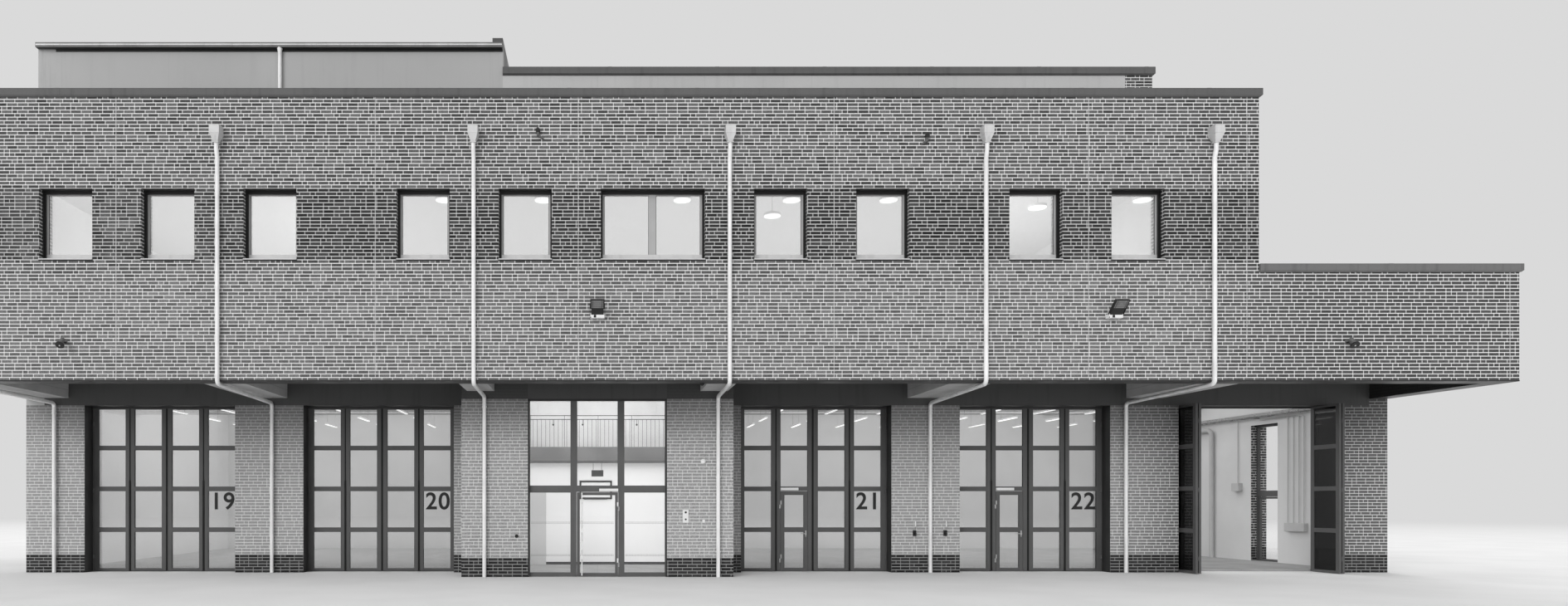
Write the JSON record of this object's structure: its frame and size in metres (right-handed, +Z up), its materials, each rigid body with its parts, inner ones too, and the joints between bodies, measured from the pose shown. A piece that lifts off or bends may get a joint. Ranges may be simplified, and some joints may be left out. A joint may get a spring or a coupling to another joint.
{
  "type": "fire station building",
  "caption": "Wide flat-roofed fire station with glazed folding gates under a deep brick canopy, a glazed entrance and a set-back roof storey.",
  "frame": {"origin": "on the ground, on the entrance axis, in the outer face of the gate wall", "axes": "+X along the front to the right as seen from the street, +Y into the building, +Z up"},
  "size_m": [37.38, 17.3711, 15.16],
  "materials": {
    "brick": "rough face brick with pale joints",
    "dark_brick": "rough dark face brick with pale joints",
    "concrete": "smooth cast concrete",
    "roofing": "matt roofing sheet",
    "cladding": "satin",
    "sheet_metal": "matt folded sheet",
    "zinc": "matt",
    "window_paint": "satin",
    "gate_paint": "satin",
    "door_paint": "satin",
    "glass": "clear",
    "rubber": "matt",
    "steel": "satin",
    "white_paint": "satin",
    "plaster": "matt wall paint on plaster",
    "dark_metal": "satin"
  },
  "bodies": {
    "building": {"canopy_beams": "concrete", "canopy_deck": "concrete", "door_closers": "white_paint", "door_hinges": "steel", "door_posts": "door_paint", "door_rails": "door_paint", "downpipes": "zinc", "end_wall": "brick", "end_wall_piers": "brick", "entrance_back_wall": "plaster", "entrance_bay_lintels": "brick", "entrance_bay_walls": "brick", "finger_guards": "rubber", "fixed_glass": "glass", "front_wall": "brick", "gallery_deck": "concrete", "gallery_rail": "white_paint", "gate_frames": "gate_paint", "gate_glass": "glass", "gate_hinges": "steel", "gate_leaves": "gate_paint", "gate_piers": "brick", "ground_floor": "concrete", "hall_partitions": "plaster", "party_wall": "brick", "pipe_brackets": "zinc", "rain_hoppers": "zinc", "rear_wall": "brick", "roof_gutter": "sheet_metal", "roof_slabs": "roofing", "roof_storey_end_wall": "brick", "roof_storey_roofs": "roofing", "roof_storey_walls": "cladding", "stepped_end_wall": "brick", "tall_verge": "cladding", "upper_floor": "concrete", "upper_walls": "brick", "wall_caps": "sheet_metal", "wall_fittings": "dark_metal", "wall_over_gates": "brick", "wicket_leaf_rails": "gate_paint", "wicket_leaf_stiles": "gate_paint", "window_frames": "window_paint", "window_glass": "glass", "window_piers": "dark_brick", "window_sills": "sheet_metal"},
    "wicket_door_3": {"wicket_3": "gate_paint", "wicket_3_glass": "glass", "wicket_3_fittings": "steel"},
    "wicket_door_4": {"wicket_4": "gate_paint", "wicket_4_glass": "glass", "wicket_4_fittings": "steel"},
    "entrance_door_leaf": {"entrance_door": "door_paint", "entrance_door_glass": "glass", "entrance_door_fittings": "steel"},
    "side_door_leaf": {"side_door": "door_paint", "side_door_glass": "glass", "side_door_fittings": "steel"}
  },
  "joints": [
    {"name": "wicket_3_hinge", "type": "hinge", "parent": "building", "child": "wicket_door_3", "pos_m": [5.10225, 0.411, 1.2], "axis": [0, 0, -1], "range_deg": [0, 90], "stiffness_Nm_per_rad": 8},
    {"name": "wicket_4_hinge", "type": "hinge", "parent": "building", "child": "wicket_door_4", "pos_m": [11.10225, 0.411, 1.2], "axis": [0, 0, -1], "range_deg": [0, 90], "stiffness_Nm_per_rad": 8},
    {"name": "entrance_door_hinge", "type": "hinge", "parent": "building", "child": "entrance_door_leaf", "pos_m": [0.536, -1.459, 1.1], "axis": [0, 0, 1], "range_deg": [0, 90], "stiffness_Nm_per_rad": 8},
    {"name": "side_door_hinge", "type": "hinge", "parent": "building", "child": "side_door_leaf", "pos_m": [21.429, 4.536, 1.1], "axis": [0, 0, 1], "range_deg": [0, 90], "stiffness_Nm_per_rad": 8}
  ]
}
